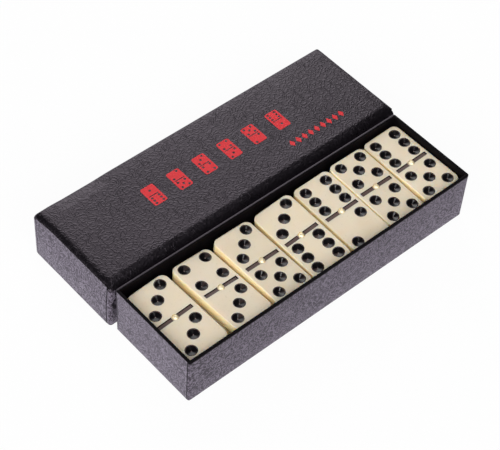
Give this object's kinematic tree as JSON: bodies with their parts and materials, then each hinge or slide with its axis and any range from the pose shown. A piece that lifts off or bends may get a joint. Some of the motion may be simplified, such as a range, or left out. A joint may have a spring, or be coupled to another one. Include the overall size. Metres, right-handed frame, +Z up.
{
  "type": "domino tile set",
  "caption": "Double-six domino tiles with pips, dividing groove and brass spinner, stacked in an open card box whose lift-off lid stands behind.",
  "frame": {"origin": "centre of the open box's underside, on the surface it stands on", "axes": "+X along the row of tiles, +Y from the open box towards the lid behind it, +Z up"},
  "size_m": [0.1912, 0.1191, 0.0311],
  "materials": {
    "embossed_card": "dark grey embossed paper on board, satin",
    "black_lining": "smooth black paper, half gloss",
    "ivory_plastic": "polished ivory-coloured plastic",
    "spinner_brass": "polished pale brass",
    "black_enamel": "gloss black paint in pips and groove",
    "red_print": "red foil print"
  },
  "bodies": {
    "box": {"box_tray": "embossed_card", "box_lining": "black_lining"},
    "lid": {"lid_shell": "embossed_card", "lid_lining": "black_lining"},
    "tile_0_0": {"tile_0_0": "ivory_plastic", "spinner_0_0": "spinner_brass"},
    "tile_1_0": {"tile_1_0": "ivory_plastic", "spinner_1_0": "spinner_brass"},
    "tile_1_1": {"tile_1_1": "ivory_plastic", "spinner_1_1": "spinner_brass"},
    "tile_2_0": {"tile_2_0": "ivory_plastic", "spinner_2_0": "spinner_brass"},
    "tile_2_1": {"tile_2_1": "ivory_plastic", "spinner_2_1": "spinner_brass"},
    "tile_2_2": {"tile_2_2": "ivory_plastic", "spinner_2_2": "spinner_brass"},
    "tile_3_0": {"tile_3_0": "ivory_plastic", "spinner_3_0": "spinner_brass"},
    "tile_3_1": {"tile_3_1": "ivory_plastic", "spinner_3_1": "spinner_brass"},
    "tile_3_2": {"tile_3_2": "ivory_plastic", "spinner_3_2": "spinner_brass"},
    "tile_4_0": {"tile_4_0": "ivory_plastic", "spinner_4_0": "spinner_brass"},
    "tile_4_1": {"tile_4_1": "ivory_plastic", "spinner_4_1": "spinner_brass"},
    "tile_4_2": {"tile_4_2": "ivory_plastic", "spinner_4_2": "spinner_brass"},
    "tile_4_4": {"tile_4_4": "ivory_plastic", "spinner_4_4": "spinner_brass"},
    "tile_5_0": {"tile_5_0": "ivory_plastic", "spinner_5_0": "spinner_brass"},
    "tile_5_1": {"tile_5_1": "ivory_plastic", "spinner_5_1": "spinner_brass"},
    "tile_5_2": {"tile_5_2": "ivory_plastic", "spinner_5_2": "spinner_brass"},
    "tile_5_4": {"tile_5_4": "ivory_plastic", "spinner_5_4": "spinner_brass"},
    "tile_6_0": {"tile_6_0": "ivory_plastic", "spinner_6_0": "spinner_brass"},
    "tile_6_1": {"tile_6_1": "ivory_plastic", "spinner_6_1": "spinner_brass"},
    "tile_6_4": {"tile_6_4": "ivory_plastic", "spinner_6_4": "spinner_brass"},
    "tile_6_6": {"tile_6_6": "ivory_plastic", "spinner_6_6": "spinner_brass"},
    "tile_3_3": {"tile_3_3": "ivory_plastic", "spinner_3_3": "spinner_brass"},
    "tile_4_3": {"tile_4_3": "ivory_plastic", "spinner_4_3": "spinner_brass"},
    "tile_3_5": {"tile_3_5": "ivory_plastic", "spinner_3_5": "spinner_brass"},
    "tile_3_6": {"tile_3_6": "ivory_plastic", "spinner_3_6": "spinner_brass"},
    "tile_6_2": {"tile_6_2": "ivory_plastic", "spinner_6_2": "spinner_brass"},
    "tile_5_5": {"tile_5_5": "ivory_plastic", "spinner_5_5": "spinner_brass"},
    "tile_6_5": {"tile_6_5": "ivory_plastic", "spinner_6_5": "spinner_brass"}
  },
  "joints": [
    {"name": "lid_lift", "type": "slide", "parent": "box", "child": "lid", "axis": [0, 0, 1], "range_m": [0, 0.06]},
    {"name": "tile_0_0_lift", "type": "slide", "parent": "box", "child": "tile_0_0", "axis": [0, 0, 1], "range_m": [0, 0.034]},
    {"name": "tile_1_0_lift", "type": "slide", "parent": "box", "child": "tile_1_0", "axis": [0, 0, 1], "range_m": [0, 0.034]},
    {"name": "tile_1_1_lift", "type": "slide", "parent": "box", "child": "tile_1_1", "axis": [0, 0, 1], "range_m": [0, 0.034]},
    {"name": "tile_2_0_lift", "type": "slide", "parent": "box", "child": "tile_2_0", "axis": [0, 0, 1], "range_m": [0, 0.034]},
    {"name": "tile_2_1_lift", "type": "slide", "parent": "box", "child": "tile_2_1", "axis": [0, 0, 1], "range_m": [0, 0.034]},
    {"name": "tile_2_2_lift", "type": "slide", "parent": "box", "child": "tile_2_2", "axis": [0, 0, 1], "range_m": [0, 0.034]},
    {"name": "tile_3_0_lift", "type": "slide", "parent": "box", "child": "tile_3_0", "axis": [0, 0, 1], "range_m": [0, 0.034]},
    {"name": "tile_3_1_lift", "type": "slide", "parent": "tile_0_0", "child": "tile_3_1", "axis": [0, 0, 1], "range_m": [0, 0.0274]},
    {"name": "tile_3_2_lift", "type": "slide", "parent": "tile_1_0", "child": "tile_3_2", "axis": [0, 0, 1], "range_m": [0, 0.0274]},
    {"name": "tile_4_0_lift", "type": "slide", "parent": "tile_1_1", "child": "tile_4_0", "axis": [0, 0, 1], "range_m": [0, 0.0274]},
    {"name": "tile_4_1_lift", "type": "slide", "parent": "tile_2_0", "child": "tile_4_1", "axis": [0, 0, 1], "range_m": [0, 0.0274]},
    {"name": "tile_4_2_lift", "type": "slide", "parent": "tile_2_1", "child": "tile_4_2", "axis": [0, 0, 1], "range_m": [0, 0.0274]},
    {"name": "tile_4_4_lift", "type": "slide", "parent": "tile_2_2", "child": "tile_4_4", "axis": [0, 0, 1], "range_m": [0, 0.0274]},
    {"name": "tile_5_0_lift", "type": "slide", "parent": "tile_3_0", "child": "tile_5_0", "axis": [0, 0, 1], "range_m": [0, 0.0274]},
    {"name": "tile_5_1_lift", "type": "slide", "parent": "tile_3_1", "child": "tile_5_1", "axis": [0, 0, 1], "range_m": [0, 0.0208]},
    {"name": "tile_5_2_lift", "type": "slide", "parent": "tile_3_2", "child": "tile_5_2", "axis": [0, 0, 1], "range_m": [0, 0.0208]},
    {"name": "tile_5_4_lift", "type": "slide", "parent": "tile_4_0", "child": "tile_5_4", "axis": [0, 0, 1], "range_m": [0, 0.0208]},
    {"name": "tile_6_0_lift", "type": "slide", "parent": "tile_4_1", "child": "tile_6_0", "axis": [0, 0, 1], "range_m": [0, 0.0208]},
    {"name": "tile_6_1_lift", "type": "slide", "parent": "tile_4_2", "child": "tile_6_1", "axis": [0, 0, 1], "range_m": [0, 0.0208]},
    {"name": "tile_6_4_lift", "type": "slide", "parent": "tile_4_4", "child": "tile_6_4", "axis": [0, 0, 1], "range_m": [0, 0.0208]},
    {"name": "tile_6_6_lift", "type": "slide", "parent": "tile_5_0", "child": "tile_6_6", "axis": [0, 0, 1], "range_m": [0, 0.0208]},
    {"name": "tile_3_3_lift", "type": "slide", "parent": "tile_5_1", "child": "tile_3_3", "axis": [0, 0, 1], "range_m": [0, 0.0143]},
    {"name": "tile_4_3_lift", "type": "slide", "parent": "tile_5_2", "child": "tile_4_3", "axis": [0, 0, 1], "range_m": [0, 0.0143]},
    {"name": "tile_3_5_lift", "type": "slide", "parent": "tile_5_4", "child": "tile_3_5", "axis": [0, 0, 1], "range_m": [0, 0.0143]},
    {"name": "tile_3_6_lift", "type": "slide", "parent": "tile_6_0", "child": "tile_3_6", "axis": [0, 0, 1], "range_m": [0, 0.0143]},
    {"name": "tile_6_2_lift", "type": "slide", "parent": "tile_6_1", "child": "tile_6_2", "axis": [0, 0, 1], "range_m": [0, 0.0143]},
    {"name": "tile_5_5_lift", "type": "slide", "parent": "tile_6_4", "child": "tile_5_5", "axis": [0, 0, 1], "range_m": [0, 0.0143]},
    {"name": "tile_6_5_lift", "type": "slide", "parent": "tile_6_6", "child": "tile_6_5", "axis": [0, 0, 1], "range_m": [0, 0.0143]}
  ]
}
